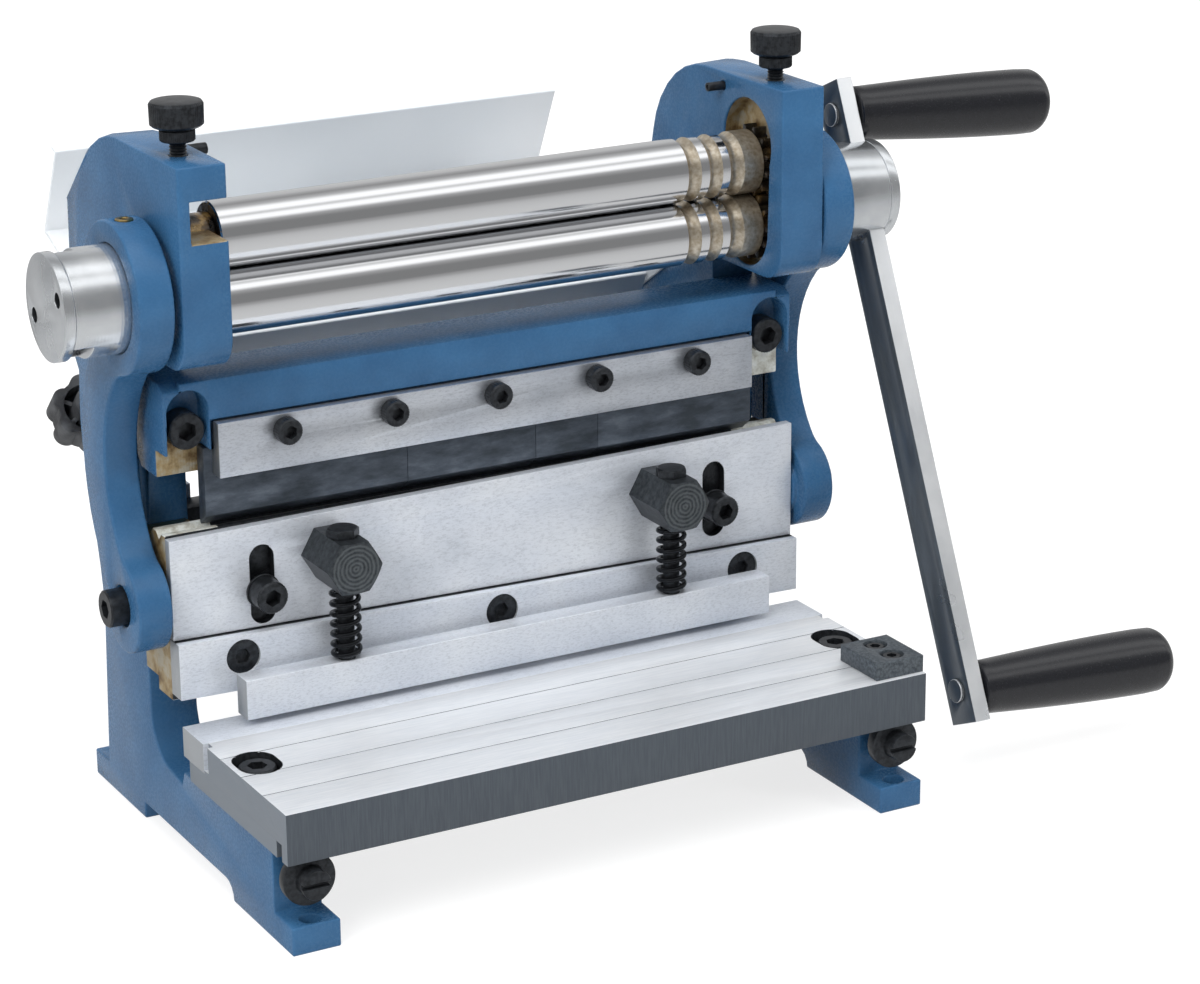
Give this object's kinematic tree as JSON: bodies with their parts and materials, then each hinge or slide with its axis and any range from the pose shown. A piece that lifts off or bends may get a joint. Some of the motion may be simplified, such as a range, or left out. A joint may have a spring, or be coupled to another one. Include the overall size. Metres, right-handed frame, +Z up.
{
  "type": "slip roll machine",
  "caption": "Bench machine with geared slip rolls, an eccentric-driven press brake and a shear over a slotted table.",
  "frame": {"origin": "centre of the rectangle of bench holes, on the bench", "axes": "+X along the rolls towards the lever, +Y to the back, +Z up"},
  "size_m": [0.4004, 0.2531, 0.2658],
  "materials": {
    "blue_enamel": "glossy enamel over casting",
    "ground_steel": "surface ground",
    "milled_dark_steel": "milled, dark edges",
    "hard_chrome": "polished",
    "turned_steel": "fine turned",
    "black_oxide": "black oxide",
    "blued_tool_steel": "hardened and blued",
    "greased_steel": "greased",
    "bronze": "turned bearing bronze",
    "grey_sheet": "smooth light powder coat",
    "black_plastic": "moulded"
  },
  "bodies": {
    "frame": {"left_side_frame": "blue_enamel", "right_side_frame": "blue_enamel", "cross_beam": "blue_enamel", "beam_screws": "black_oxide", "clamp_bar": "ground_steel", "clamp_screws": "black_oxide", "punch_segments": "blued_tool_steel", "crank_bushes": "bronze", "gibs": "ground_steel", "gib_screws": "black_oxide", "roll_pins": "black_oxide", "rear_guard": "grey_sheet", "guard_screws": "black_oxide", "table_screws": "black_oxide"},
    "table": {"table": "milled_dark_steel", "lower_blade_bar": "ground_steel", "lower_blade_screws": "black_oxide", "stop_block": "milled_dark_steel", "stop_screws": "black_oxide"},
    "left_adjuster": {"left_adjuster": "black_oxide"},
    "right_adjuster": {"right_adjuster": "black_oxide"},
    "crank": {"lower_roll": "hard_chrome", "crank_gear": "greased_steel", "left_hub": "turned_steel", "right_hub": "turned_steel", "hub_caps": "turned_steel", "lever": "ground_steel", "grip_spindles": "turned_steel"},
    "upper_grip": {"upper_grip": "black_plastic"},
    "lower_grip": {"lower_grip": "black_plastic"},
    "upper_bearings": {"upper_bushes": "bronze"},
    "upper_roll": {"upper_roll": "hard_chrome", "upper_gear": "greased_steel"},
    "left_thumbscrew": {"left_thumbscrew": "black_oxide"},
    "right_thumbscrew": {"right_thumbscrew": "black_oxide"},
    "left_arm": {"left_arm": "blue_enamel", "left_pivot_screw": "black_oxide", "left_oiler": "bronze"},
    "right_arm": {"right_arm": "blue_enamel", "right_pivot_screw": "black_oxide", "right_oiler": "bronze"},
    "ram": {"ram": "ground_steel", "guide_bar": "black_oxide", "slide_pads": "bronze", "front_plate": "ground_steel", "plate_screws": "black_oxide", "upper_blade": "ground_steel", "upper_blade_screws": "black_oxide", "hex_blocks": "black_oxide", "left_spring": "black_oxide", "right_spring": "black_oxide"},
    "hold_down": {"hold_down_bar": "ground_steel", "hold_down_rods": "black_oxide"},
    "rear_bearings": {"rear_blocks": "black_oxide"},
    "rear_roll": {"rear_roll": "hard_chrome"},
    "left_knob": {"left_knob_screw": "black_oxide", "left_star_knob": "black_plastic"},
    "right_knob": {"right_knob_screw": "black_oxide", "right_star_knob": "black_plastic"}
  },
  "joints": [
    {"name": "crank_turn", "type": "hinge", "parent": "frame", "child": "crank", "pos_m": [0, 0.0085, 0.195], "axis": [-1, 0, 0], "range_deg": [0, 180]},
    {"name": "left_arm_swing", "type": "hinge", "parent": "crank", "child": "left_arm", "pos_m": [-0.1318, 0.0085, 0.2013], "axis": [-1, 0, 0], "range_deg": [-180, 0]},
    {"name": "right_arm_swing", "type": "hinge", "parent": "crank", "child": "right_arm", "pos_m": [0.1318, 0.0085, 0.2013], "axis": [-1, 0, 0], "range_deg": [-180, 0]},
    {"name": "upper_grip_spin", "type": "hinge", "parent": "crank", "child": "upper_grip", "pos_m": [0.1556, 0.02019, 0.22718], "axis": [0.9986, -0.0215, -0.0477], "continuous": true},
    {"name": "lower_grip_spin", "type": "hinge", "parent": "crank", "child": "lower_grip", "pos_m": [0.1556, -0.06804, 0.03178], "axis": [0.9986, -0.0215, -0.0477], "continuous": true},
    {"name": "ram_stroke", "type": "slide", "parent": "frame", "child": "ram", "axis": [0, 0, 1], "range_m": [-0.01261, 0]},
    {"name": "hold_down_travel", "type": "slide", "parent": "ram", "child": "hold_down", "axis": [0, 0, 1], "range_m": [0, 0.01036], "deforming": ["left_spring", "right_spring"]},
    {"name": "upper_roll_lift", "type": "slide", "parent": "frame", "child": "upper_bearings", "axis": [0, 0, 1], "range_m": [0, 0.002]},
    {"name": "upper_roll_spin", "type": "hinge", "parent": "upper_bearings", "child": "upper_roll", "pos_m": [0, 0.0085, 0.218], "axis": [-1, 0, 0], "range_deg": [-180, 0]},
    {"name": "left_thumbscrew_turn", "type": "hinge", "parent": "upper_bearings", "child": "left_thumbscrew", "pos_m": [-0.11365, 0.0025, 0.25], "axis": [0, 0, 1], "range_deg": [-30, 750]},
    {"name": "right_thumbscrew_turn", "type": "hinge", "parent": "upper_bearings", "child": "right_thumbscrew", "pos_m": [0.11365, 0.0025, 0.25], "axis": [0, 0, 1], "range_deg": [-30, 750]},
    {"name": "rear_roll_slide", "type": "slide", "parent": "frame", "child": "rear_bearings", "axis": [0, -0.7325, 0.6807], "range_m": [-0.006, 0.008]},
    {"name": "rear_roll_spin", "type": "hinge", "parent": "rear_bearings", "child": "rear_roll", "pos_m": [0, 0.038, 0.197], "axis": [-1, 0, 0], "continuous": true},
    {"name": "left_knob_turn", "type": "hinge", "parent": "rear_bearings", "child": "left_knob", "pos_m": [-0.1114, 0.10979, 0.13029], "axis": [0, -0.7325, 0.6807], "range_deg": [-1760, 2336]},
    {"name": "right_knob_turn", "type": "hinge", "parent": "rear_bearings", "child": "right_knob", "pos_m": [0.1114, 0.10979, 0.13029], "axis": [0, -0.7325, 0.6807], "range_deg": [-1760, 2336]},
    {"name": "table_slide", "type": "slide", "parent": "frame", "child": "table", "axis": [0, 1, 0], "range_m": [-0.00187, 0]},
    {"name": "left_adjuster_turn", "type": "hinge", "parent": "table", "child": "left_adjuster", "pos_m": [-0.11365, -0.08, 0.024], "axis": [0, 1, 0], "range_deg": [-30, 570]},
    {"name": "right_adjuster_turn", "type": "hinge", "parent": "table", "child": "right_adjuster", "pos_m": [0.11365, -0.08, 0.024], "axis": [0, 1, 0], "range_deg": [-30, 570]}
  ],
  "couplings": [
    {"joint": "left_arm_swing", "follows": "crank_turn", "ratio": -1},
    {"joint": "right_arm_swing", "follows": "crank_turn", "ratio": -1},
    {"joint": "upper_roll_spin", "follows": "crank_turn", "ratio": -1},
    {"joint": "ram_stroke", "follows": "crank_turn", "m_per_rad": -0.0040107},
    {"joint": "hold_down_travel", "follows": "crank_turn", "m_per_rad": 0.0032945},
    {"joint": "left_thumbscrew_turn", "follows": "upper_roll_lift", "rad_per_m": 6283.2},
    {"joint": "right_thumbscrew_turn", "follows": "upper_roll_lift", "rad_per_m": 6283.2},
    {"joint": "left_knob_turn", "follows": "rear_roll_slide", "rad_per_m": 5026.5},
    {"joint": "right_knob_turn", "follows": "rear_roll_slide", "rad_per_m": 5026.5},
    {"joint": "left_adjuster_turn", "follows": "table_slide", "rad_per_m": -5026.5},
    {"joint": "right_adjuster_turn", "follows": "table_slide", "rad_per_m": -5026.5}
  ]
}
